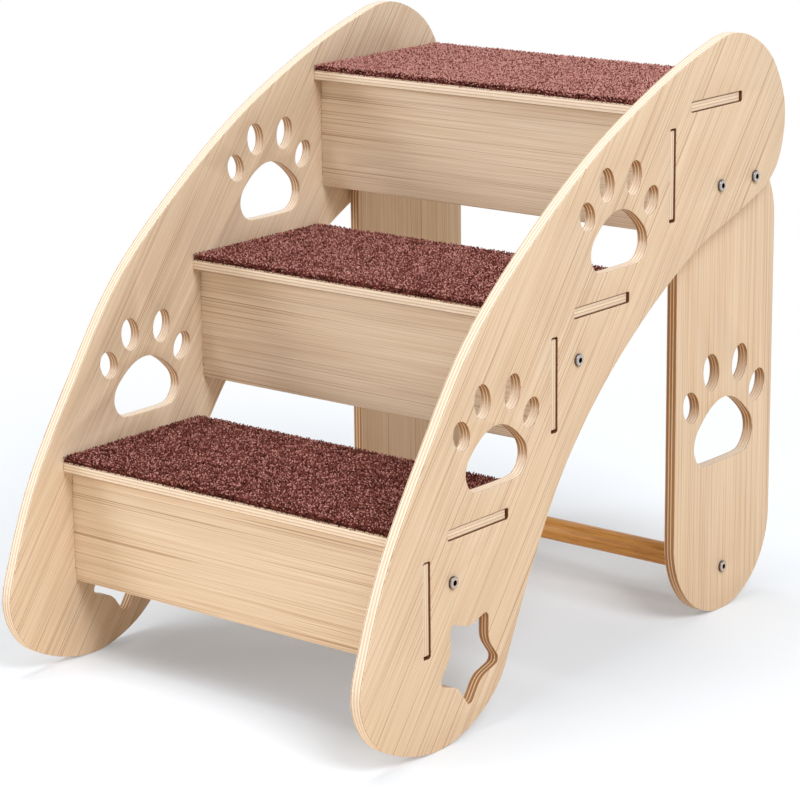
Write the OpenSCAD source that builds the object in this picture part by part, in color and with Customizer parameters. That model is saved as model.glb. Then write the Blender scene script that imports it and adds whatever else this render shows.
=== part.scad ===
// Pet stairs of flat plywood boards: three carpeted treads and three risers are held by their tabs
// between two curved side panels, and a pair of rear legs is bolted to the panels' inner faces.
// X runs across the stairs, Y from the front to the back and Z up. The floor is at Z = 0.

/* [Overall] */
// Width over the outer faces of the two side panels
outer_w = 378; // [320:2:460]
// Thickness of a side panel
panel_t = 10; // [9:0.5:18]
// Thickness of a tread or a riser
board_t = 9; // [6:0.5:12]

/* [Steps] */
// Height of the bottom tread's upper face above the floor
first_height = 172; // [164:1:182]
// Height from one tread to the next
rise = 141; // [130:1:152]
// Distance from one tread's front edge to the next
run = 161; // [150:1:172]
// Depth of the bottom tread and of the middle tread
tread_depth = 164; // [150:1:180]
// Depth of the top tread
top_tread_depth = 173; // [163:1:188]
// Height of a riser
riser_h = 95; // [84:1:104]
// Distance from a tread's front edge back to the riser under it
riser_setback = 9.5; // [4:0.5:16]

/* [Tabs and slots] */
// Length of the tab at each end of a tread
tread_tab_l = 72; // [50:1:84]
// Distance from a tread's front edge to the middle of its tabs
tread_tab_back = 77.5; // [66:0.5:90]
// Length of the tab at each end of a riser, centred on the riser's height
riser_tab_l = 73; // [50:1:80]
// Play of a board's thickness in its slot
slot_gap = 0.3; // [0.1:0.1:0.6]
// Radius that the cutter leaves in a slot's corners, and the gap that it leaves at each end of a tab
slot_corner_r = 2; // [1:0.1:3]
// Distance that a tab's end stays inside the panel's outer face
tab_recess = 1.8; // [0.2:0.1:3]

/* [Side panels] */
// Distance that a panel reaches in front of the bottom tread
toe_reach = 65; // [60:1:74]
// Distance that a panel reaches behind the top tread
back_reach = 10; // [4:1:14]
// Height of a panel above the top tread
top_reach = 49; // [42:1:58]

/* [Cut-outs] */
// Width of the pad of a panel's paw
paw_w = 78; // [66:1:84]
// Distance from a tread's front edge back to the middle of the paw beside it
paw_back = 101; // [94:0.5:106]
// Height of the paw's pad above a tread's upper face
paw_rise = 21; // [14:1:28]
// Radius of the star's tips about its middle
star_r = 37.5; // [28:0.5:40]
// Distance from the bottom tread's front edge back to the middle of the star
star_back = 66; // [60:0.5:70]
// Height of the middle of the star above the floor
star_height = 64; // [60:1:70]
// Radius that rounds the star's tips
star_tip_r = 5; // [2:0.5:6]
// Radius that rounds the notches between the star's tips
star_notch_r = 20; // [4:1:24]

/* [Rear legs] */
// Thickness of a leg
leg_t = 10; // [9:0.5:18]
// Width of a leg
leg_w = 148; // [136:1:156]
// Distance from the top tread's upper face down to a leg's top
leg_drop = 47; // [38:1:52]
// Distance that a leg reaches behind the top tread
leg_reach = 18; // [12:1:24]
// Width of the pad of a leg's paw, as a share of the leg's width
leg_paw_share = 0.615; // [0.52:0.005:0.66]
// Height of the leg paw's pad above the floor
leg_paw_height = 134; // [115:1:160]

/* [Crossbars] */
// Diameter of a crossbar
bar_d = 20; // [16:1:26]
// Distance from a tread's front edge back to the axis of the crossbar under it
bar_back = 45; // [40:0.5:54]
// Distance from a tread's upper face down to the axis of the crossbar under it
bar_drop = 42; // [34:0.5:50]
// Height of the legs' crossbar above the floor
leg_bar_height = 38.5; // [28:0.5:60]

/* [Carpet] */
// Thickness of a carpet pad
carpet_t = 6; // [3:0.5:9]
// Gap between a carpet pad and each side panel
carpet_gap = 1; // [0.5:0.1:3]
// Radius that rounds the pad's upper edges at its front and back
carpet_edge_r = 2; // [1:0.1:2.5]

/* [Bolts] */
// Nominal diameter of every bolt
bolt_d = 6; // [5:0.5:7]
// Diameter of a bolt's head
head_d = 10; // [9:0.1:13]
// Height of a bolt's head
head_h = 2.5; // [2.2:0.1:4]
// Width across the flats of a hexagon socket
socket_w = 4; // [3:0.1:5]
// Depth of a bolt's hexagon socket
socket_depth = 1.8; // [1.2:0.1:2.1]
// Distance between the two bolts at the top of a leg
leg_bolt_pitch = 52; // [42:1:58]
// Distance from a leg's top down to its two upper bolts
leg_bolt_drop = 28; // [24:1:34]
// Distance from a leg's back edge forward to the middle between its two upper bolts
leg_bolt_back = 80; // [74:1:84]
// Radial gap around a bolt in a plain hole
hole_gap = 0.25; // [0.15:0.05:0.5]
// Radial gap around a bolt's thread in an insert
thread_gap = 0.15; // [0.05:0.05:0.25]
// Outer diameter of a threaded insert
insert_d = 10; // [9:0.5:12]
// Length of a threaded insert
insert_l = 15; // [10:1:20]
// Length of thread that a crossbar's bolt has in its insert
insert_bite = 15; // [10:1:20]
// Diameter of the flange on a leg's insert
flange_d = 15; // [13:0.5:20]
// Thickness of that flange, which holds the leg off its panel
flange_t = 3.5; // [2:0.5:5]
// Outer diameter of a leg's insert
barrel_d = 10; // [9:0.5:11]
// Length of thread that a leg's upper bolt has in its insert's barrel
barrel_bite = 6.5; // [4:0.5:7]
// Length by which an insert's barrel is shorter than the leg is thick
barrel_short = 1.5; // [1:0.5:2]
// Room left past the tip of a bolt
tip_room = 1; // [0.5:0.5:2]
// Radial gap around an insert in its hole
fit_gap = 0.1; // [0.05:0.05:0.2]

/* [Hidden] */

// The step that each word names, counted from the floor
bottom_index = 0;
middle_index = 1;
top_index = 2;

// Points per stretch of a smooth curve, steps per rounded corner, and sides of round things
curve_steps = 6;
corner_steps = 6;
toe_points = 36;
bar_sides = 64;
bolt_sides = 48;
// Length by which a cut runs past the face that it breaks through
overrun = 1;
// Radius of the crown's edge on a bolt's head
head_edge_r = 1.2;

half_w = outer_w / 2;
inner_half_w = half_w - panel_t;
leg_outer_half_w = inner_half_w - flange_t;
leg_half_w = leg_outer_half_w - leg_t;

// The origin is on the floor, under the middle of the whole depth
stairs_depth = 2 * run + top_tread_depth;
front_y = (toe_reach - stairs_depth - max(back_reach, leg_reach)) / 2;
function tread_front(step) = front_y + step * run;
function tread_top(step) = first_height + step * rise;
function depth_of(step) = step == top_index ? top_tread_depth : tread_depth;

panel_depth = toe_reach + stairs_depth + back_reach;
panel_height = tread_top(top_index) + top_reach;
leg_height = tread_top(top_index) - leg_drop;
leg_back_y = front_y + stairs_depth + leg_reach;
leg_axis_y = leg_back_y - leg_w / 2;
leg_bolt_z = leg_height - leg_bolt_drop;

bar_bolt_l = panel_t + insert_bite;
leg_bar_bolt_l = leg_t + insert_bite;
leg_bolt_l = panel_t + flange_t + barrel_bite;
barrel_l = leg_t - barrel_short;

// A panel's outline from its front round by the top: shares of its depth and of its height
panel_shares = [
    [0.000, 0.123], [0.016, 0.201], [0.063, 0.326], [0.140, 0.463], [0.240, 0.617], [0.368, 0.741],
    [0.514, 0.851], [0.658, 0.930], [0.779, 0.980], [0.870, 1.000], [0.953, 0.958], [0.997, 0.875],
    [0.993, 0.795], [0.960, 0.741], [0.888, 0.706], [0.768, 0.658], [0.647, 0.580], [0.532, 0.479],
    [0.439, 0.364], [0.372, 0.239], [0.329, 0.141], [0.296, 0.070], [0.242, 0.024], [0.168, 0.001],
    [0.091, 0.016], [0.029, 0.055]];
// Half of a paw's pad, from its lower edge up to its crown: shares of its half width and height
pad_half_shares = [[0.64, 0.01], [0.83, 0.07], [0.95, 0.19], [1.00, 0.35], [0.92, 0.56],
    [0.62, 0.80], [0.31, 0.95]];
pad_height_share = 0.615;
// The four toes: how far back, how high, half width and half length as shares of the pad's width,
// and the lean backwards in degrees
toe_shares = [[-0.557, 0.620, 0.126, 0.162, -29], [-0.225, 0.893, 0.133, 0.182, -11],
    [0.258, 0.897, 0.133, 0.182, 11], [0.563, 0.620, 0.126, 0.162, 29]];
star_points = 5;
star_notch_share = 0.6;

// A smooth closed curve through the points
function between(a, b, c, d, t) =
    (2 * b + (c - a) * t + (2 * a - 5 * b + 4 * c - d) * t * t + (3 * b - a - 3 * c + d) * t * t * t) / 2;
function smooth(points) = let (n = len(points)) [
    for (i = [0 : n - 1], k = [0 : curve_steps - 1])
        between(points[(i + n - 1) % n], points[i], points[(i + 1) % n], points[(i + 2) % n],
            k / curve_steps)];
// The curve moved and scaled so that its shares run from 0 to 1 both ways
function to_unit(points) =
    let (across = [for (p = points) p[0]], up = [for (p = points) p[1]])
    [for (p = points) [(p[0] - min(across)) / (max(across) - min(across)),
        (p[1] - min(up)) / (max(up) - min(up))]];

// The corner at p between its neighbours a and b, rounded to radius r; rounded takes the radii in turn
function unit(v) = v / norm(v);
function rounded_corner(a, p, b, r) =
    let (u = unit(a - p), v = unit(b - p), half = acos(u * v) / 2)
    let (middle_of_arc = p + unit(u + v) * r / sin(half))
    let (from = p + u * r / tan(half) - middle_of_arc, to = p + v * r / tan(half) - middle_of_arc)
    let (start = atan2(from[1], from[0]), end = atan2(to[1], to[0]))
    let (turn = (end - start + 540) % 360 - 180)
    [for (k = [0 : corner_steps])
        middle_of_arc + r * [cos(start + turn * k / corner_steps), sin(start + turn * k / corner_steps)]];
function rounded(points, radii) = let (n = len(points)) [
    for (i = [0 : n - 1])
        each rounded_corner(points[(i + n - 1) % n], points[i], points[(i + 1) % n],
            radii[i % len(radii)])];

// Flat shapes, drawn with Y to the right and Z up
module panel_outline() {
    polygon([for (p = to_unit(smooth(panel_shares)))
        [front_y - toe_reach + p[0] * panel_depth, p[1] * panel_height]]);
}

module paw(pad_w) {
    half = [for (p = pad_half_shares) [p[0], p[1]]];
    other_half = [for (i = [len(half) - 1 : -1 : 0]) [-half[i][0], half[i][1]]];
    pad = to_unit(smooth(concat([[0, 0]], half, [[0, 1]], other_half)));
    polygon([for (p = pad) [(p[0] - 1 / 2) * pad_w, p[1] * pad_height_share * pad_w]]);
    for (toe = toe_shares)
        polygon([for (k = [0 : toe_points - 1])
            let (a = 360 * k / toe_points, x = toe[2] * cos(a), y = toe[3] * sin(a))
            pad_w * [toe[0] + x * cos(toe[4]) + y * sin(toe[4]),
                toe[1] - x * sin(toe[4]) + y * cos(toe[4])]]);
}

module star() {
    part_turn = 360 / star_points;
    tip_half_angle = atan2(star_notch_share * sin(part_turn / 2),
        1 - star_notch_share * cos(part_turn / 2));
    sharp_r = star_r + star_tip_r * (1 / sin(tip_half_angle) - 1);
    polygon(rounded([for (k = [0 : 2 * star_points - 1])
        let (r = k % 2 == 0 ? sharp_r : sharp_r * star_notch_share, a = k * part_turn / 2 - 90)
        r * [cos(a), sin(a)]], [star_tip_r, star_notch_r]));
}

module slot(low_y, low_z, across, up) {
    translate([low_y, low_z])
        polygon(rounded([[0, 0], [across, 0], [across, up], [0, up]], [slot_corner_r]));
}

module tread_slot(step) {
    slot(tread_front(step) + tread_tab_back - tread_tab_l / 2 - slot_corner_r,
        tread_top(step) - board_t, tread_tab_l + 2 * slot_corner_r, board_t + slot_gap);
}

module riser_slot(step) {
    slot(tread_front(step) + riser_setback - slot_gap / 2,
        tread_top(step) - board_t - riser_h / 2 - riser_tab_l / 2 - slot_corner_r,
        board_t + slot_gap, riser_tab_l + 2 * slot_corner_r);
}

// A flat shape made a board of the given thickness, whose inner face is at x
module board(x, thickness) {
    translate([x, 0, 0])
        rotate([90, 0, 90])
            linear_extrude(thickness)
                children();
}

// What is drawn on the right-hand side, put on either side
module on_left() {
    mirror([1, 0, 0])
        children();
}

module on_both() {
    children();
    on_left()
        children();
}

// A round rod along X from x to x + length
module rod(x, length, d, sides) {
    translate([x, 0, 0])
        rotate([0, 90, 0])
            cylinder(h = length, d = d, $fn = sides);
}

module bolt_hole(x, thickness) {
    rod(x - overrun, thickness + 2 * overrun, bolt_d + 2 * hole_gap, bolt_sides);
}

// The places of the bolts
module at_bar(step) {
    translate([0, tread_front(step) + bar_back, tread_top(step) - bar_drop])
        children();
}

module at_leg_bar() {
    translate([0, leg_axis_y, leg_bar_height])
        children();
}

module at_leg_bolts() {
    for (side = [-1, 1])
        translate([0, leg_back_y - leg_bolt_back + side * leg_bolt_pitch / 2, leg_bolt_z])
            children();
}

// The boards
module side_panel() {
    color("#ebcdaa")
        difference() {
            board(inner_half_w, panel_t)
                difference() {
                    panel_outline();
                    for (step = [bottom_index : top_index]) {
                        tread_slot(step);
                        riser_slot(step);
                    }
                    for (step = [bottom_index : middle_index])
                        translate([tread_front(step) + paw_back, tread_top(step) + paw_rise])
                            paw(paw_w);
                    translate([front_y + star_back, star_height])
                        star();
                }
            for (step = [bottom_index : middle_index])
                at_bar(step)
                    bolt_hole(inner_half_w, panel_t);
            at_leg_bolts()
                bolt_hole(inner_half_w, panel_t);
        }
}

module tread(step) {
    color("#e6c8a0")
        translate([0, tread_front(step), tread_top(step) - board_t]) {
            translate([-inner_half_w, 0, 0])
                cube([2 * inner_half_w, depth_of(step), board_t]);
            translate([tab_recess - half_w, tread_tab_back - tread_tab_l / 2, 0])
                cube([2 * (half_w - tab_recess), tread_tab_l, board_t]);
        }
}

module riser(step) {
    color("#ebcdaf")
        translate([0, tread_front(step) + riser_setback, tread_top(step) - board_t - riser_h]) {
            translate([-inner_half_w, 0, 0])
                cube([2 * inner_half_w, board_t, riser_h]);
            translate([tab_recess - half_w, 0, (riser_h - riser_tab_l) / 2])
                cube([2 * (half_w - tab_recess), board_t, riser_tab_l]);
        }
}

module carpet_pad(step) {
    depth = depth_of(step);
    pad_half_w = inner_half_w - carpet_gap;
    side_view = concat([[0, 0], [depth, 0]],
        rounded_corner([depth, 0], [depth, carpet_t], [0, carpet_t], carpet_edge_r),
        rounded_corner([depth, carpet_t], [0, carpet_t], [0, 0], carpet_edge_r));
    color("#6b4038")
        translate([0, tread_front(step), tread_top(step)])
            board(-pad_half_w, 2 * pad_half_w)
                polygon(side_view);
}

module rear_leg() {
    round_r = leg_w / 2;
    color("#dec3a0")
        difference() {
            board(leg_half_w, leg_t)
                difference() {
                    union() {
                        translate([leg_axis_y - round_r, round_r])
                            square([leg_w, leg_height - 2 * round_r]);
                        for (z = [round_r, leg_height - round_r])
                            translate([leg_axis_y, z])
                                circle(r = round_r, $fn = 2 * bar_sides);
                    }
                    translate([leg_axis_y, leg_paw_height])
                        paw(leg_paw_share * leg_w);
                }
            at_leg_bar()
                bolt_hole(leg_half_w, leg_t);
            at_leg_bolts()
                rod(leg_half_w - overrun, leg_t + 2 * overrun, barrel_d + 2 * fit_gap, bolt_sides);
        }
}

// A dowel between two inner faces, drilled at both ends for its inserts and for its bolts' tips
module crossbar(half_length) {
    color("#b8834a")
        difference() {
            rod(-half_length, 2 * half_length, bar_d, bar_sides);
            on_both() {
                rod(half_length - insert_l, insert_l + overrun, insert_d + 2 * fit_gap, bolt_sides);
                rod(half_length - insert_bite - tip_room, insert_bite + tip_room + overrun,
                    bolt_d + 2 * hole_gap, bolt_sides);
            }
        }
}

// The fasteners, each with its outer end towards +X
module hexagon_socket(x, depth) {
    rod(x - depth, depth + overrun, 2 * socket_w / sqrt(3), 6);
}

module bolt(head_x, length) {
    color("#b9b9bb")
        difference() {
            union() {
                rod(head_x - length, length + head_edge_r, bolt_d, bolt_sides);
                translate([head_x, 0, 0])
                    rotate([0, 90, 0])
                        rotate_extrude($fn = bolt_sides)
                            polygon(concat([[0, 0], [head_d / 2, 0]],
                                rounded_corner([head_d / 2, 0], [head_d / 2, head_h],
                                    [0, head_h], head_edge_r),
                                [[0, head_h]]));
            }
            hexagon_socket(head_x + head_h, socket_depth);
        }
}

module insert(half_length) {
    color("#9c9a8e")
        difference() {
            rod(half_length - insert_l, insert_l, insert_d, bolt_sides);
            rod(half_length - insert_l - overrun, insert_l + 2 * overrun,
                bolt_d + 2 * thread_gap, bolt_sides);
        }
}

// An insert screwed into a leg from outside; its flange bears on the leg and on the panel
module flanged_insert() {
    barrel_x = leg_outer_half_w - barrel_l;
    color("#9c9a8e")
        difference() {
            union() {
                rod(barrel_x, barrel_l + flange_t, barrel_d, bolt_sides);
                rod(leg_outer_half_w, flange_t, flange_d, bolt_sides);
            }
            rod(barrel_x - overrun, barrel_l + flange_t + 2 * overrun, bolt_d + 2 * thread_gap, bolt_sides);
        }
}

on_left() side_panel();  // left_side_panel
side_panel();  // right_side_panel
tread(bottom_index);  // bottom_tread
tread(middle_index);  // middle_tread
tread(top_index);  // top_tread
riser(bottom_index);  // bottom_riser
riser(middle_index);  // middle_riser
riser(top_index);  // top_riser
carpet_pad(bottom_index);  // bottom_carpet_pad
carpet_pad(middle_index);  // middle_carpet_pad
carpet_pad(top_index);  // top_carpet_pad
on_left() rear_leg();  // left_rear_leg
rear_leg();  // right_rear_leg
at_bar(bottom_index) crossbar(inner_half_w);  // front_crossbar
at_bar(middle_index) crossbar(inner_half_w);  // middle_crossbar
at_leg_bar() crossbar(leg_half_w);  // leg_crossbar
on_left() at_leg_bolts() bolt(half_w, leg_bolt_l);  // left_leg_top_bolts
at_leg_bolts() bolt(half_w, leg_bolt_l);  // right_leg_top_bolts
on_left() at_bar(bottom_index) bolt(half_w, bar_bolt_l);  // left_front_crossbar_bolt
at_bar(bottom_index) bolt(half_w, bar_bolt_l);  // right_front_crossbar_bolt
on_left() at_bar(middle_index) bolt(half_w, bar_bolt_l);  // left_middle_crossbar_bolt
at_bar(middle_index) bolt(half_w, bar_bolt_l);  // right_middle_crossbar_bolt
on_left() at_leg_bar() bolt(leg_outer_half_w, leg_bar_bolt_l);  // left_leg_crossbar_bolt
at_leg_bar() bolt(leg_outer_half_w, leg_bar_bolt_l);  // right_leg_crossbar_bolt
at_bar(bottom_index) on_both() insert(inner_half_w);  // front_crossbar_inserts
at_bar(middle_index) on_both() insert(inner_half_w);  // middle_crossbar_inserts
at_leg_bar() on_both() insert(leg_half_w);  // leg_crossbar_inserts
on_left() at_leg_bolts() flanged_insert();  // left_leg_flanged_inserts
at_leg_bolts() flanged_insert();  // right_leg_flanged_inserts
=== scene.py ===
# %% [markdown]
# # Pet stairs of plywood boards
# These stairs are flat boards that slot together: two curved side panels hold three treads and three
# risers by their tabs, two rear legs are bolted to the panels, and each tread carries a carpet pad.
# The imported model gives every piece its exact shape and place. This notebook gives the pieces their
# looks, and the first cell loads the model, which always has to come first.

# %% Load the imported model
import math

import bpy
import numpy as np
from mathutils import Matrix, Vector


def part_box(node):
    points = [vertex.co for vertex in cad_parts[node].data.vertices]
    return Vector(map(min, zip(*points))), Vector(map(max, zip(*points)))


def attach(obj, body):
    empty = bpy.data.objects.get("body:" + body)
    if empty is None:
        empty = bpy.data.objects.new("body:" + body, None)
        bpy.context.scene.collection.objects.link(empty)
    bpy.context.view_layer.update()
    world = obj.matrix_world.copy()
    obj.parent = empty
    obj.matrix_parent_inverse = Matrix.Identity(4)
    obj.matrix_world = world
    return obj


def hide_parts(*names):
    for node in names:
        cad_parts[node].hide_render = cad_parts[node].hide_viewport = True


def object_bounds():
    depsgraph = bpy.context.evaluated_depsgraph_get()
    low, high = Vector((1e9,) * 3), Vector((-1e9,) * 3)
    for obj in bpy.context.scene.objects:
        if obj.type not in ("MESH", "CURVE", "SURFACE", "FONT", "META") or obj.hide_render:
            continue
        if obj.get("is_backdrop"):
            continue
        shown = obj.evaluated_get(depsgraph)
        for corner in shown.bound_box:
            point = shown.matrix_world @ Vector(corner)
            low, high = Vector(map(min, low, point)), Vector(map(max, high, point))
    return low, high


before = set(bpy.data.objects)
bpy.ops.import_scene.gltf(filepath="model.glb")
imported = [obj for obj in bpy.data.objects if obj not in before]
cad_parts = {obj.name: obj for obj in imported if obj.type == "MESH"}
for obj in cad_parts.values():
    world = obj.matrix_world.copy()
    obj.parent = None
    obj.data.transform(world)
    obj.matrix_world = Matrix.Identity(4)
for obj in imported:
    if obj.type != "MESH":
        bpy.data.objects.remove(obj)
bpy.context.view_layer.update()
bpy.ops.object.select_all(action="DESELECT")
MM = 0.001

# %% [markdown]
# ## The camera
# The camera's place was worked out from the edges of the boards in the photograph. Blender's camera
# looks along its own -Z with +Y up, so the three directions below become the columns of its matrix.
# A long lens, far away, keeps the panels nearly parallel, as in the photograph.

# %% Place the camera
PHOTO_SIDE_PX = 800
FOCAL_LENGTH_PX = 2950.7
AZIMUTH = math.radians(39.1781)
ELEVATION = math.radians(14.7552)
ROLL = math.radians(-0.6576)
EYE = Vector((1.4978, -1.8453, 0.8309))
NEAREST_SEEN, FARTHEST_SEEN = 0.1, 100

ahead = Vector((-math.sin(AZIMUTH) * math.cos(ELEVATION),
                math.cos(AZIMUTH) * math.cos(ELEVATION),
                -math.sin(ELEVATION)))
level = Vector((math.cos(AZIMUTH), math.sin(AZIMUTH), 0))
upright = level.cross(ahead)
rightwards = math.cos(ROLL) * level + math.sin(ROLL) * upright
upwards = math.cos(ROLL) * upright - math.sin(ROLL) * level

camera = bpy.data.objects.new("camera", bpy.data.cameras.new("camera"))
bpy.context.scene.collection.objects.link(camera)
camera.data.lens = camera.data.sensor_width * FOCAL_LENGTH_PX / PHOTO_SIDE_PX
camera.data.clip_start, camera.data.clip_end = NEAREST_SEEN, FARTHEST_SEEN
turned = Matrix((rightwards, upwards, -ahead)).transposed().to_4x4()
camera.matrix_world = Matrix.Translation(EYE) @ turned
bpy.context.scene.camera = camera
print("camera lens in mm:", round(camera.data.lens, 1))

# %% [markdown]
# ## Sums in a material
# A material's nodes add, multiply and compare numbers. Written one node at a time that is long, so
# one small class wraps a socket: an ordinary Python sum on it adds the Math node for it. Every other
# node comes from the one method `node`, which sets the node's own settings first and its sockets next.

# %% A socket that works in sums
class Socket:
    def __init__(self, finish, link):
        self.finish = finish
        self.link = link

    def math(self, operation, *values):
        return self.finish.node("ShaderNodeMath", {"operation": operation}, dict(enumerate(values)))

    def __add__(self, other):
        return self.math("ADD", self, other)

    def __sub__(self, other):
        return self.math("SUBTRACT", self, other)

    def __rsub__(self, other):
        return self.math("SUBTRACT", other, self)

    def __mul__(self, other):
        return self.math("MULTIPLY", self, other)

    __radd__ = __add__
    __rmul__ = __mul__


# %% A finish, which holds a material and makes its nodes
# The Mix node has sockets for numbers, colours and more, and these are the numbers of the colour ones
MIX_FACTOR, MIX_FIRST, MIX_SECOND, MIX_RESULT = 0, 6, 7, 2


class Finish:
    def __init__(self, name, **constants):
        self.material = bpy.data.materials.new(name)
        self.material.use_nodes = True
        self.tree = self.material.node_tree
        self.surface = self.tree.nodes["Principled BSDF"]
        for socket, value in constants.items():
            self.surface.inputs[socket.replace("_", " ")].default_value = value

    def node(self, kind, settings, sockets, output=0):
        made = self.tree.nodes.new(kind)
        for name, value in settings.items():
            if name == "stops":
                made.color_ramp.interpolation = "LINEAR"
                while len(made.color_ramp.elements) < len(value):
                    made.color_ramp.elements.new(1)
                for element, (place, tint) in zip(made.color_ramp.elements, value):
                    element.position = place
                    element.color = (*tint, 1)
            else:
                setattr(made, name, value)
        for key, value in sockets.items():
            if isinstance(value, Socket):
                self.tree.links.new(value.link, made.inputs[key])
            else:
                made.inputs[key].default_value = value
        return Socket(self, made.outputs[output])

    def feed(self, **links):
        for socket, value in links.items():
            self.tree.links.new(value.link, self.surface.inputs[socket.replace("_", " ")])

    def place(self):
        return self.node("ShaderNodeTexCoord", {}, {}, "Object")

    def attribute(self, name):
        return self.node("ShaderNodeAttribute", {"attribute_name": name}, {}, "Fac")

    def speckle(self, cell, turn=(0, 0, 0), detail=2.0, roughness=0.5):
        """Noise whose blots are cell metres long each way, turned about the axes."""
        turned = self.node("ShaderNodeMapping", {"vector_type": "TEXTURE"},
                           {"Vector": self.place(), "Rotation": turn, "Scale": cell})
        return self.node("ShaderNodeTexNoise", {},
                         {"Vector": turned, "Scale": 1.0, "Detail": detail, "Roughness": roughness})

    def between(self, value, low, high, to_low=0.0, to_high=1.0):
        return self.node("ShaderNodeMapRange", {"interpolation_type": "SMOOTHSTEP"},
                         {"Value": value, "From Min": low, "From Max": high,
                          "To Min": to_low, "To Max": to_high})

    def ramp(self, value, stops):
        return self.node("ShaderNodeValToRGB", {"stops": stops}, {"Fac": value})

    def mix(self, factor, first, second):
        return self.node("ShaderNodeMix", {"data_type": "RGBA"},
                         {MIX_FACTOR: factor, MIX_FIRST: first, MIX_SECOND: second}, MIX_RESULT)

    def bump(self, height, strength, distance):
        return self.node("ShaderNodeBump", {}, {"Height": height, "Strength": strength, "Distance": distance})


# %% A colour as it is read off a screen
def color(red, green, blue):
    """The linear colour of a screen's red, green and blue, from 0 to 255, by the screen's own curve."""
    shares = [v / 255 for v in (red, green, blue)]
    return tuple(v / 12.92 if v < 0.04045 else ((v + 0.055) / 1.055) ** 2.4 for v in shares)


print("a middle grey of 128 is", round(color(128, 128, 128)[0], 3), "in linear light")

# %% [markdown]
# ## Plywood
# A board of plywood is thin sheets of wood, glued crosswise. Its faces show long fine grain, and its
# cut edges show the sheets as stripes. So the finish is a solid one: each point of a board carries how
# deep it lies between the two faces, and the same material shows grain on the faces and stripes on
# every cut edge. The walls of the paws, the star and the slots are drawn browner than the sanded rim
# as painted shade, most where they look down, and the legs' front rim gets some too, so each point
# also carries how much of that painted shade it shows.

# %% The plywood's colours and the sheets in its edges
FACE = color(236, 219, 196)
FACE_DARK = color(216, 190, 161)
PORE = color(160, 114, 74)
CORE = color(224, 199, 172)
CORE_PALE = color(244, 231, 213)
GLUE = color(180, 140, 100)
RIM_LINE = color(154, 114, 80)
# Painted shade: the walls of holes show these darker, browner sheets
SHADED_HOLE_WALL = color(166, 120, 80)
HOLE_LINE = color(240, 218, 184)
# Painted shade: the dark brown in a slot's narrow gap
SLOT_GAP_SHADE = color(112, 68, 38)

# Each row is a depth, as a share of the board's thickness, and the colour there
SHEETS = [(0.000, FACE), (0.060, FACE), (0.075, RIM_LINE), (0.105, RIM_LINE),
          (0.125, CORE_PALE), (0.280, CORE_PALE), (0.300, CORE), (0.375, CORE), (0.390, GLUE),
          (0.410, CORE_PALE), (0.590, CORE_PALE), (0.610, GLUE), (0.625, CORE), (0.700, CORE),
          (0.720, CORE_PALE), (0.875, CORE_PALE), (0.895, RIM_LINE), (0.925, RIM_LINE),
          (0.940, FACE), (1.000, FACE)]
SHADED_HOLE_SHEETS = [(0.000, FACE), (0.080, SHADED_HOLE_WALL), (0.280, SHADED_HOLE_WALL), (0.320, HOLE_LINE), (0.370, HOLE_LINE),
               (0.410, SHADED_HOLE_WALL), (0.570, SHADED_HOLE_WALL), (0.610, HOLE_LINE), (0.660, HOLE_LINE),
               (0.700, SHADED_HOLE_WALL), (0.920, SHADED_HOLE_WALL), (1.000, FACE)]
print("a board's edge shows", sum(tint == CORE_PALE for _, tint in SHEETS) // 2, "pale sheets")

# %% A plywood finish
# Length, width and depth of the grain's marks in mm, then their noise's detail and roughness
BANDS = ((700, 18, 60), 1.0, 0.5)
STREAKS = ((300, 0.7, 12), 2.0, 0.7)
FIBRES = ((120, 0.45, 3), 1.0, 0.7)
PORES = ((340, 0.8, 6), 0.0, 0.5)
END_GRAIN = ((5, 1.2, 0.6), 2.0, 0.6)
# How much of each goes into the face's tone, and the noise values between which the tone changes
BAND_SHARE, STREAK_SHARE, FIBRE_SHARE = 0.1, 0.35, 0.55
TONE_FROM, TONE_TO = 0.36, 0.64
# The same for the dark lines, and how strong they are
LINE_BAND_SHARE = 0.12
LINE_FROM, LINE_TO = 0.70, 0.78
LINE_STRENGTH = 0.52
END_FROM, END_TO, END_STRENGTH = 0.3, 0.7, 0.15
# The painted shade on the walls of holes runs up to MOST_SHADE, and a slot's painted shade is 1
MOST_SHADE = 0.8
SLOT_FROM, SLOT_TO = 0.88, 0.98
# The depths, as shares of the thickness, between which the face's grain gives way to the sheets
FACE_ENDS, SHEETS_START = 0.05, 0.075
# Pale wood shines a little more and dark lines a little less, and the lines are sunk between the streaks
LACQUER_ROUGHNESS, PALE_SHINE, LINE_DULLNESS = 0.5, -0.08, 0.12
STREAK_HEIGHT, LINE_HEIGHT = 0.4, 0.6
GRAIN_BUMP = 0.2
GRAIN_DEPTH = 0.4 * MM


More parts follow.
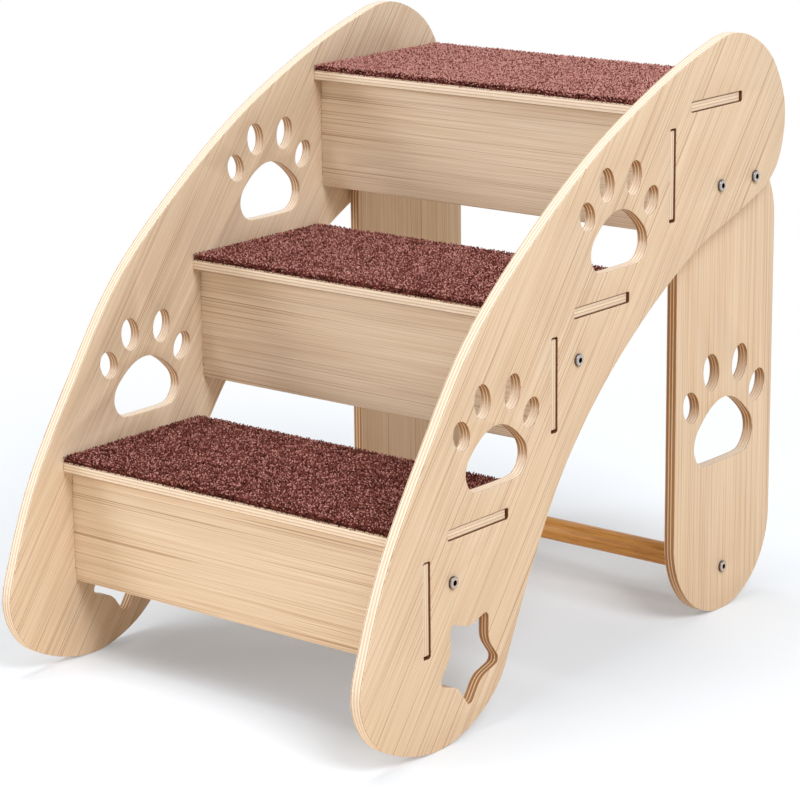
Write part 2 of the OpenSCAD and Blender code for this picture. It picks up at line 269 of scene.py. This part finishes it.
def plywood(name, along, across, through, turn=(0, 0, 0), lines=1.0):
    """Plywood whose grain runs along one axis; along, across and through are the axes' numbers."""
    finish = Finish(name, Roughness=LACQUER_ROUGHNESS)

    def marks(cell, detail, roughness):
        sizes = [0, 0, 0]
        sizes[along], sizes[across], sizes[through] = (size * MM for size in cell)
        return finish.speckle(sizes, turn, detail, roughness)

    bands, streaks, fibres, pores = (marks(*grain) for grain in (BANDS, STREAKS, FIBRES, PORES))
    tone = bands * BAND_SHARE + streaks * STREAK_SHARE + fibres * FIBRE_SHARE
    tone = finish.between(tone, TONE_FROM, TONE_TO)
    line = finish.between(pores + bands * LINE_BAND_SHARE, LINE_FROM, LINE_TO)
    face = finish.mix(tone, (*FACE_DARK, 1), (*FACE, 1))
    face = finish.mix(line * LINE_STRENGTH * lines, face, (*PORE, 1))

    depth = finish.attribute("layer")
    ends = finish.between(marks(*END_GRAIN), END_FROM, END_TO)
    cut = finish.mix(ends * END_STRENGTH, finish.ramp(depth, SHEETS), (*GLUE, 1))
    # Painted shade on the walls of holes, the slots' gaps and the legs' front rim, by each corner's mark
    cutout = finish.attribute("cutout")
    cut = finish.mix(finish.between(cutout, 0.0, MOST_SHADE), cut, finish.ramp(depth, SHADED_HOLE_SHEETS))
    cut = finish.mix(finish.between(cutout, SLOT_FROM, SLOT_TO), cut, (*SLOT_GAP_SHADE, 1))
    nearest = finish.node("ShaderNodeMath", {"operation": "MINIMUM"}, {0: depth, 1: 1 - depth})
    inside = finish.between(nearest, FACE_ENDS, SHEETS_START)
    finish.feed(Base_Color=finish.mix(inside, face, cut),
                Roughness=tone * PALE_SHINE + line * LINE_DULLNESS + LACQUER_ROUGHNESS,
                Normal=finish.bump(streaks * STREAK_HEIGHT - line * LINE_HEIGHT, GRAIN_BUMP, GRAIN_DEPTH))
    return finish.material


# %% The four plywood finishes
X, Y, Z = 0, 1, 2
PANEL_GRAIN = math.radians(53)
RISER_LINES = 1.1
panel_plywood = plywood("panel plywood", Y, Z, X, (PANEL_GRAIN, 0, 0))
tread_plywood = plywood("tread plywood", X, Y, Z)
riser_plywood = plywood("riser plywood", X, Z, Y, lines=RISER_LINES)
leg_plywood = plywood("leg plywood", Z, Y, X)
print("the panels' grain rises by", round(math.degrees(PANEL_GRAIN)), "degrees")

# %% [markdown]
# ## The boards
# Real boards have their edges sanded round. A copy of each packed board is merged back into one
# surface, its flat faces are made whole, and every sharp edge is selected and bevelled. The copy then
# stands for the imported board, and keeps its size. The walls that join up into one run belong to one
# hole, or to the rim if the run is the widest, and that is how the holes and slots are told apart.

# %% A new piece that stands for a packed one
MERGE_DISTANCE = 0.005 * MM
FLAT_ANGLE = math.radians(0.3)
SHARP_ANGLE = math.radians(50)
SMOOTH_ANGLE = math.radians(30)


def stands_for(piece, node, material):
    piece.data.materials.clear()
    piece.data.materials.append(material)
    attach(piece, "root")
    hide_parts(node)


def copy_of(node, name):
    """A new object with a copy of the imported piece's mesh, merged into one surface, in edit mode."""
    bpy.ops.object.select_all(action="DESELECT")
    piece = bpy.data.objects.new(name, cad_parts[node].data.copy())
    bpy.context.scene.collection.objects.link(piece)
    bpy.context.view_layer.objects.active = piece
    piece.select_set(True)
    bpy.ops.object.mode_set(mode="EDIT")
    bpy.ops.mesh.select_all(action="SELECT")
    bpy.ops.mesh.remove_doubles(threshold=MERGE_DISTANCE)
    return piece


def round_edges(radius, steps):
    bpy.ops.mesh.dissolve_limited(angle_limit=FLAT_ANGLE)
    bpy.ops.mesh.select_all(action="DESELECT")
    bpy.ops.mesh.edges_select_sharp(sharpness=SHARP_ANGLE)
    bpy.ops.mesh.bevel(offset=radius, offset_type="OFFSET", segments=steps, profile=0.5, clamp_overlap=True)
    bpy.ops.object.mode_set(mode="OBJECT")
    bpy.ops.object.shade_smooth_by_angle(angle=SMOOTH_ANGLE)


# %% Marks that a piece's corners keep for its finish
def keep(piece, name, values):
    marks = piece.data.attributes.new(name, "FLOAT", "POINT")
    marks.data.foreach_set("value", values.astype(np.float32))


def mark_layers(piece, axis):
    """Each corner keeps its depth between the board's two faces, from 0 to 1."""
    depth = np.array([v.co[axis] for v in piece.data.vertices])
    keep(piece, "layer", (depth - depth.min()) / (depth.max() - depth.min()))


# %% The painted shade on the walls of the holes
# A wall is a face that leans less than this share towards the board's own faces
WALL_LEAN = 0.7
# A slot is narrower than this, and the star lies below this height
SLOT_WIDTH = 14 * MM
STAR_TOP = 110 * MM
# The painted shade of an upright wall in a paw, and how much it grows or shrinks on walls that look down or
# up
UPRIGHT_SHADE, DOWNWARD_SHADE = 0.52, 0.5


def runs_of(walls):
    """The corners of each run of walls that touch each other."""
    neighbours = {}
    for wall in walls:
        for corner in wall.vertices:
            neighbours.setdefault(corner, []).append(wall)
    runs, seen = [], set()
    for first in walls:
        if first.index in seen:
            continue
        seen.add(first.index)
        run, waiting = set(), [first]
        while waiting:
            wall = waiting.pop()
            run.update(wall.vertices)
            for other in (w for corner in wall.vertices for w in neighbours[corner]):
                if other.index not in seen:
                    seen.add(other.index)
                    waiting.append(other)
        runs.append(run)
    return runs


def paint_hole_shade(piece, axis, rim_shade):
    """Paints shade on the holes' walls, most where they look down. The outer rim gets its share of painted
    shade in front.
    """
    mesh = piece.data

    def spans(run):
        return [np.ptp([mesh.vertices[i].co[way] for i in run]) for way in (Z, Y)]

    runs = runs_of([f for f in mesh.polygons if abs(f.normal[axis]) < WALL_LEAN])
    rim = max(runs, key=lambda run: sum(spans(run)))
    marks = np.zeros(len(mesh.vertices))
    for run in runs:
        narrow = min(spans(run)) < SLOT_WIDTH
        for corner in run - rim:
            spot, out = mesh.vertices[corner].co, mesh.vertices[corner].normal
            shade = min(max(UPRIGHT_SHADE - DOWNWARD_SHADE * out.z, 0.0), MOST_SHADE)
            marks[corner] = 1 if narrow else MOST_SHADE if spot.z < STAR_TOP else shade
    if rim_shade:
        for corner in rim:
            marks[corner] = rim_shade * max(-mesh.vertices[corner].normal.y, 0.0)
    keep(piece, "cutout", marks)
    return len(runs) - 1


# %% Round the boards' edges
EDGE_RADIUS = 1.0 * MM
EDGE_STEPS = 3
# The legs' rim gets painted shade where it faces the front, for the shade under the stairs
LEG_RIM_SHADE = 0.75
BOARDS = [("side_panel", ("left", "right"), X, "panel_plywood", panel_plywood, 0),
          ("tread", ("bottom", "middle", "top"), Z, "board_plywood", tread_plywood, 0),
          ("riser", ("bottom", "middle", "top"), Y, "board_plywood", riser_plywood, 0),
          ("rear_leg", ("left", "right"), X, "leg_plywood", leg_plywood, LEG_RIM_SHADE)]
for kind, words, thickness_axis, slot, material, rim_shade in BOARDS:
    for word in words:
        node = f"{word}_{kind}"
        board = copy_of(node, f"{node}_board")
        round_edges(EDGE_RADIUS, EDGE_STEPS)
        mark_layers(board, thickness_axis)
        holes = paint_hole_shade(board, thickness_axis, rim_shade)
        stands_for(board, node, material)
        print(board.name, len(board.data.polygons), "faces,", holes, "holes")

# %% [markdown]
# ## The carpet
# Each tread has a short-pile carpet. From a step away it is a soft maroon slab with paler flecks and a
# fuzzy rim, and the fuzz can't come from a bump map, which leaves the outline straight. So the carpet
# is a backing with thousands of small leaning tufts. A tuft is two three-sided points, base to base:
# few faces, but enough for a crisp rim. Tufts near the backing's foot, and each tuft at its own foot, are
# darker as painted shade deep in the pile.

# %% The carpet's finish
MAROON_DARK = color(42, 14, 12)
MAROON = color(112, 58, 50)
MAROON_PALE = color(150, 92, 84)
FLECK = color(206, 152, 144)
CURL = (7 * MM, 3.5 * MM, 3.5 * MM)
CURL_TURN = (0, 0, 0.5)
PATCH = (18 * MM, 18 * MM, 18 * MM)
TUFT_SHARE, CURL_SHARE, PATCH_SHARE = 0.5, 0.7, 0.15

carpet_finish = Finish("carpet pile", Roughness=0.95, Specular_IOR_Level=0.1)
curls = carpet_finish.speckle(CURL, CURL_TURN, detail=3.0, roughness=0.7)
patches = carpet_finish.speckle(PATCH, detail=2.0)
tuft_tone = carpet_finish.attribute("tuft_tone")
pile_tone = tuft_tone * TUFT_SHARE + curls * CURL_SHARE + patches * PATCH_SHARE
carpet_finish.feed(Base_Color=carpet_finish.ramp(pile_tone, [
    (0.36, MAROON_DARK), (0.54, MAROON), (0.68, MAROON_PALE), (0.82, FLECK)]))
carpet = carpet_finish.material
print("made the carpet's finish")

# %% The backing of one carpet
PILE_HEIGHT = 2.2 * MM
BACKING_RADIUS = 0.9 * MM
BACKING_SMOOTH = math.radians(40)


def backing(node, name):
    """The carpet's slab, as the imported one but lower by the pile."""
    low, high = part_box(node)
    low, high = low + Vector((0, PILE_HEIGHT / 2, 0)), high - Vector((0, PILE_HEIGHT / 2, PILE_HEIGHT))
    bpy.ops.object.select_all(action="DESELECT")
    bpy.ops.mesh.primitive_cube_add(size=1, location=(low + high) / 2, scale=high - low)
    slab = bpy.context.object
    slab.name = name
    bpy.ops.object.transform_apply(location=True, rotation=True, scale=True)
    bpy.ops.object.mode_set(mode="EDIT")
    bpy.ops.mesh.select_all(action="SELECT")
    bpy.ops.mesh.bevel(offset=BACKING_RADIUS, segments=3)
    bpy.ops.object.mode_set(mode="OBJECT")
    bpy.ops.object.shade_smooth_by_angle(angle=BACKING_SMOOTH)
    return slab, low, high


# %% Where the tufts stand
TUFT_SPACING = 1.8 * MM
SIDE_MARGIN = 0.3 * MM
# Near the front and back edges the tufts lean outwards by this much, and that fades over this distance
EDGE_LEAN = 0.7
EDGE_FADE = 0.8 * MM
draw = np.random.default_rng(12)


def unit(rows):
    return rows / np.linalg.norm(rows, axis=1)[:, None]


def tuft_spots(low, high):
    """Places and outward directions of the tufts: over the top, and round the front and back edges."""
    across = np.arange(low.x, high.x, TUFT_SPACING)
    side = high.z - low.z
    path = np.arange(-side, (high.y - low.y) + side, TUFT_SPACING)
    x, along = (a.ravel() for a in np.meshgrid(across, path))
    x = x + draw.uniform(-0.5, 0.5, x.size) * TUFT_SPACING
    along = along + draw.uniform(-0.5, 0.5, x.size) * TUFT_SPACING
    depth = high.y - low.y
    before, behind = np.minimum(along, 0), np.maximum(along - depth, 0)
    y = low.y + np.clip(along, 0, depth)
    z = high.z + np.maximum(before, -side) - np.minimum(behind, side)
    out_y = np.where(along < 0, -1.0, np.where(along > depth, 1.0, 0.0))
    out_z = np.where((along < 0) | (along > depth), 0.0, 1.0)
    edge = np.exp(-np.minimum(np.abs(along), np.abs(along - depth)) / EDGE_FADE)
    toward = np.where(np.abs(along) < np.abs(along - depth), -1.0, 1.0)
    out = np.stack([np.zeros_like(x),
                    out_y + edge * toward * out_z * EDGE_LEAN,
                    out_z + edge * (1 - out_z) * EDGE_LEAN], 1)
    return np.stack([np.clip(x, low.x + SIDE_MARGIN, high.x - SIDE_MARGIN), y, z], 1), unit(out)


# %% The tufts of one carpet
TUFT_RADIUS = 0.85 * MM
ROOT_DEPTH = 0.3 * MM
LEAN_SPREAD = 0.55
# Shares of the pile's height and of the tuft's radius, and the share of its height where it is widest
HEIGHT_FROM, HEIGHT_TO = 0.75, 1.15
RADIUS_FROM, RADIUS_TO = 0.7, 1.2
WIDEST_SHARE = 0.55
RING_ANGLES = (0, math.tau / 3, math.tau * 2 / 3)
# A tuft's corners are its foot, the three of its ring and its tip
TUFT_CORNERS = 5
TUFT_FACES = np.array([[0, 2, 1], [0, 3, 2], [0, 1, 3], [4, 1, 2], [4, 2, 3], [4, 3, 1]])
# The two numbers of the draw that makes most tufts dark and a few pale, and the share left at each
# tuft's foot as painted shade, then the height over which the backing's foot paints shade on the tufts
TONE_DRAW = (1.6, 2.2)
TUFT_FOOT_SHADE = 0.4
SHADE_HEIGHT = 1.0 * MM


def tufts(low, high, name, painted_light):
    spots, out = tuft_spots(low, high)
    count = len(spots)
    lean = draw.normal(0, LEAN_SPREAD, (count, 3))
    tall = unit(out + lean - out * (lean * out).sum(1)[:, None])
    side = unit(np.cross(tall, draw.normal(0, 1, (count, 3))))
    other = np.cross(tall, side)
    height = PILE_HEIGHT * draw.uniform(HEIGHT_FROM, HEIGHT_TO, count)[:, None]
    wide = TUFT_RADIUS * draw.uniform(RADIUS_FROM, RADIUS_TO, count)[:, None]
    base = spots - out * ROOT_DEPTH
    middle = base + tall * height * WIDEST_SHARE
    ring = [middle + wide * (side * math.cos(a) + other * math.sin(a)) for a in RING_ANGLES]
    corners = np.stack([base, *ring, base + tall * height], 1).reshape(-1, 3)
    faces = (TUFT_FACES[None] + TUFT_CORNERS * np.arange(count)[:, None, None]).reshape(-1, 3)
    mesh = bpy.data.meshes.new(name)
    mesh.from_pydata(corners.tolist(), [], faces.tolist())
    mesh.shade_smooth()
    pile = bpy.data.objects.new(name, mesh)
    bpy.context.scene.collection.objects.link(pile)
    # Painted shade on low tufts and on every tuft's foot, and the carpet's painted light, over a random tone
    lit = np.clip((spots[:, 2] - low.z + SHADE_HEIGHT) / (high.z - low.z + SHADE_HEIGHT), 0, 1)
    tone = np.repeat(draw.beta(*TONE_DRAW, count) * lit + painted_light, TUFT_CORNERS)
    tone[0::TUFT_CORNERS] *= TUFT_FOOT_SHADE
    keep(pile, "tuft_tone", tone)
    mesh.materials.append(carpet)
    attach(pile, "root")
    return pile


# %% Lay the three carpets
# Painted light: the top carpet is drawn palest and the bottom one the darkest, for the light that falls on
# them
CARPET_PAINTED_LIGHT = {"bottom": 0, "middle": 0.06, "top": 0.3}
for word, painted_light in CARPET_PAINTED_LIGHT.items():
    node = f"{word}_carpet_pad"
    slab, low, high = backing(node, f"{word}_carpet")
    stands_for(slab, node, carpet)
    pile = tufts(low, high, f"{word}_carpet_pile", painted_light)
    print(pile.name, len(pile.data.polygons), "faces")

# %% [markdown]
# ## The crossbars
# The crossbars are round rods of a redder, darker wood, with their grain along the rod. The packed
# shape is right, so a merged copy only needs smooth shading and a wood finish.

# %% The rods
ROD_DARK = color(163, 106, 42)
ROD_WOOD = color(208, 151, 76)
ROD_PALE = color(232, 184, 106)
ROD_STREAK = (70 * MM, 2.2 * MM, 2.2 * MM)
ROD_LINE = (18 * MM, 0.8 * MM, 0.8 * MM)
ROD_STREAK_SHARE, ROD_LINE_SHARE = 0.65, 0.35
ROD_BUMP = 0.2
ROD_GRAIN_DEPTH = 0.3 * MM

rod_finish = Finish("rod wood", Roughness=0.45)
rod_streaks = rod_finish.speckle(ROD_STREAK, detail=3.0, roughness=0.6)
rod_lines = rod_finish.speckle(ROD_LINE, detail=2.0)
rod_tone = rod_streaks * ROD_STREAK_SHARE + rod_lines * ROD_LINE_SHARE
rod_color = rod_finish.ramp(rod_tone, [(0.30, ROD_DARK), (0.5, ROD_WOOD), (0.72, ROD_PALE)])
rod_finish.feed(Base_Color=rod_color, Normal=rod_finish.bump(rod_lines, ROD_BUMP, ROD_GRAIN_DEPTH))
for word in ("front", "middle", "leg"):
    rod = copy_of(f"{word}_crossbar", f"{word}_crossbar_rod")
    bpy.ops.object.mode_set(mode="OBJECT")
    bpy.ops.object.shade_smooth_by_angle(angle=SMOOTH_ANGLE)
    stands_for(rod, f"{word}_crossbar", rod_finish.material)
    print(rod.name, len(rod.data.polygons), "faces")

# %% [markdown]
# ## Bolts and inserts
# The bolts are zinc-plated steel with a rounded head and a hexagon socket. They are small in the
# picture, so what matters is a clean bright head, a dark socket and a darker rim. The steel's colour
# follows the distance to the bolt's axis: painted shade in the socket, a painted highlight round it,
# and a darker edge with a painted contact shadow at the rim. The threaded inserts are duller zinc.

# %% The metals
SOCKET_SHADE = color(26, 25, 32)
HEAD_HIGHLIGHT = color(204, 198, 196)
HEAD_GREY = color(178, 172, 170)
RIM_EDGE_AND_SHADOW = color(104, 96, 92)
ZINC_GREY = color(176, 172, 160)
STEEL_WEAR = (1.5 * MM, 1.5 * MM, 1.5 * MM)
ZINC_WEAR = (2 * MM, 2 * MM, 2 * MM)
WEAR_FROM, WEAR_TO = 0.3, 0.7
STEEL_SMOOTH, STEEL_WORN = 0.24, 0.42
ZINC_SMOOTH, ZINC_WORN = 0.4, 0.6

steel = Finish("bolt steel", Metallic=1.0, Roughness=0.3)
wear = steel.speckle(STEEL_WEAR, detail=3.0)
# Shares of the head's radius: painted shade in the socket, a painted highlight, the steel's grey, then the
# darker edge with its painted contact shadow
steel_color = steel.ramp(steel.attribute("off_axis"), [
    (0.46, SOCKET_SHADE), (0.54, HEAD_HIGHLIGHT), (0.88, HEAD_GREY), (0.98, RIM_EDGE_AND_SHADOW)])
steel_roughness = steel.between(wear, WEAR_FROM, WEAR_TO, STEEL_SMOOTH, STEEL_WORN)
steel.feed(Base_Color=steel_color, Roughness=steel_roughness)
zinc = Finish("insert zinc", Base_Color=(*ZINC_GREY, 1), Metallic=1.0, Roughness=0.5)
zinc.feed(Roughness=zinc.between(zinc.speckle(ZINC_WEAR), WEAR_FROM, WEAR_TO, ZINC_SMOOTH, ZINC_WORN))
print("made the steel and the zinc")

# %% The metal pieces
METAL_RADIUS = 0.15 * MM
METAL_STEPS = 2
# Two bolts share a node where it is this many times as deep as it is high
PAIR_SHAPE = 1.5


def mark_off_axis(piece):
    """Each corner keeps its distance from its bolt's axis, 1 at the rim of the head."""
    spots = np.array([v.co for v in piece.data.vertices])
    y, z = spots[:, Y], spots[:, Z]
    middle = (y.max() + y.min()) / 2
    off = np.zeros(len(spots))
    for part in ((y < middle, y >= middle) if np.ptp(y) > PAIR_SHAPE * np.ptp(z) else (y >= y.min(),)):
        centre = (y[part].max() + y[part].min()) / 2, (z[part].max() + z[part].min()) / 2
        off[part] = np.hypot(y[part] - centre[0], z[part] - centre[1])
    keep(piece, "off_axis", off / off.max())


METALS = [(f"{side}_{place}", "bolt_steel", steel)
          for side in ("left", "right")
          for place in ("leg_top_bolts", "front_crossbar_bolt", "middle_crossbar_bolt", "leg_crossbar_bolt")]
METALS += [(f"{word}_crossbar_inserts", "insert_zinc", zinc) for word in ("front", "middle", "leg")]
METALS += [(f"{side}_leg_flanged_inserts", "insert_zinc", zinc) for side in ("left", "right")]
for node, slot, finish in METALS:
    piece = copy_of(node, f"{node}_metal")
    round_edges(METAL_RADIUS, METAL_STEPS)
    mark_off_axis(piece)
    stands_for(piece, node, finish.material)
print("metal pieces:", len(METALS))

# %% [markdown]
# ## The room
# The photograph has a white ground with a soft grey shadow under the stairs. A wide floor takes the
# shadow and turns to plain white away from the object. Where the camera or a shiny bolt looks at it,
# it gives off a little light of its own, so that its open part is white. The camera sees a nearly
# neutral floor. To all other light it is a warm tan, which lends the lower boards their warm glow.

# %% The floor
FLOOR_SIZE = 40
FLOOR_SEEN = (0.72, 0.75, 0.80, 1)
FLOOR_BOUNCE = (0.82, 0.70, 0.57, 1)
FLOOR_GLOW = (0.85, 1.0, 1.1, 1)
GLOW_STRENGTH = 0.2
# Distances in metres between which the floor turns to plain white
WHITE_FROM, WHITE_TO = 0.55, 1.1

bpy.ops.object.select_all(action="DESELECT")
bpy.ops.mesh.primitive_grid_add(x_subdivisions=2, y_subdivisions=2, size=FLOOR_SIZE, location=(0, 0, 0))
floor = bpy.context.object
floor.name = "floor"
floor_finish = Finish("floor", Roughness=1.0, Specular_IOR_Level=0.0)
by_camera = floor_finish.node("ShaderNodeLightPath", {}, {}, "Is Camera Ray")
by_shine = floor_finish.node("ShaderNodeLightPath", {}, {}, "Is Glossy Ray")
seen = by_camera.math("MAXIMUM", by_camera, by_shine)
floor_finish.feed(Base_Color=floor_finish.mix(by_camera, FLOOR_BOUNCE, FLOOR_SEEN))
away = floor_finish.node("ShaderNodeVectorMath", {"operation": "LENGTH"}, {0: floor_finish.place()}, "Value")
far = floor_finish.between(away, WHITE_FROM, WHITE_TO)
white = floor_finish.node("ShaderNodeEmission", {}, {"Color": (1, 1, 1, 1), "Strength": 1.0})
glow = floor_finish.node("ShaderNodeEmission", {}, {"Color": FLOOR_GLOW, "Strength": seen * GLOW_STRENGTH})
plain = Socket(floor_finish, floor_finish.surface.outputs[0])
lit = floor_finish.node("ShaderNodeAddShader", {}, {0: plain, 1: glow})
shown = floor_finish.node("ShaderNodeMixShader", {}, {0: seen * far, 1: lit, 2: white})
floor_finish.tree.links.new(shown.link, floor_finish.tree.nodes["Material Output"].inputs["Surface"])
floor.data.materials.append(floor_finish.material)
floor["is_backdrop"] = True
print("the floor turns white at", WHITE_TO, "m from the middle")

# %% [markdown]
# ## The light
# Four broad soft lamps light the stairs: from the left, the right, the front and above. The left one
# lights the risers and the right one the panels' faces. A dim warm world fills the rest, and the camera
# and the shiny bolts see plain white instead of it. The strengths keep pale wood below pure white.

# %% The lamps
LAMP_SIZE = 2.6
AIM = Vector((0, 0, 0.25))
# Name, place in metres and power in watts
LAMPS = [("left lamp", (-4.4, -4.2, 1.8), 116),
         ("right lamp", (3.6, -1.3, 4.2), 190),
         ("front lamp", (0, -6, 1.4), 44),
         ("top lamp", (-0.6, 0, 4.8), 95)]
for name, place, power in LAMPS:
    light = bpy.data.lights.new(name, "AREA")
    light.shape = "SQUARE"
    light.size = LAMP_SIZE
    light.energy = power
    lamp = bpy.data.objects.new(name, light)
    bpy.context.scene.collection.objects.link(lamp)
    lamp.location = place
    lamp.rotation_euler = (AIM - Vector(place)).to_track_quat("-Z", "Y").to_euler()
    print(name, power, "W")

# %% The world
FILL_COLOR = (1, 0.91, 0.80, 1)
FILL_STRENGTH = 0.33

world = bpy.data.worlds.new("room")
bpy.context.scene.world = world
world.use_nodes = True
nodes, links = world.node_tree.nodes, world.node_tree.links
fill, backdrop = nodes["Background"], nodes.new("ShaderNodeBackground")
fill.inputs["Color"].default_value = FILL_COLOR
fill.inputs["Strength"].default_value = FILL_STRENGTH
backdrop.inputs["Color"].default_value = (1, 1, 1, 1)
ray, looked_at, shown = (nodes.new(f"ShaderNode{kind}") for kind in ("LightPath", "Math", "MixShader"))
looked_at.operation = "MAXIMUM"
links.new(ray.outputs["Is Camera Ray"], looked_at.inputs[0])
links.new(ray.outputs["Is Glossy Ray"], looked_at.inputs[1])
links.new(looked_at.outputs[0], shown.inputs[0])
links.new(fill.outputs[0], shown.inputs[1])
links.new(backdrop.outputs[0], shown.inputs[2])
links.new(shown.outputs[0], nodes["World Output"].inputs["Surface"])
bpy.context.scene.view_settings.view_transform = "Standard"
print("the world's fill is", FILL_STRENGTH, "of full white")

# %% [markdown]
# ## The visual size
# The visual pieces' size is printed in mm. The visual pieces have to stay in the imported
# model's box.

# %% Print the visual size
low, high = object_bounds()
print("visual size in mm:", [round(v / MM, 1) for v in high - low])
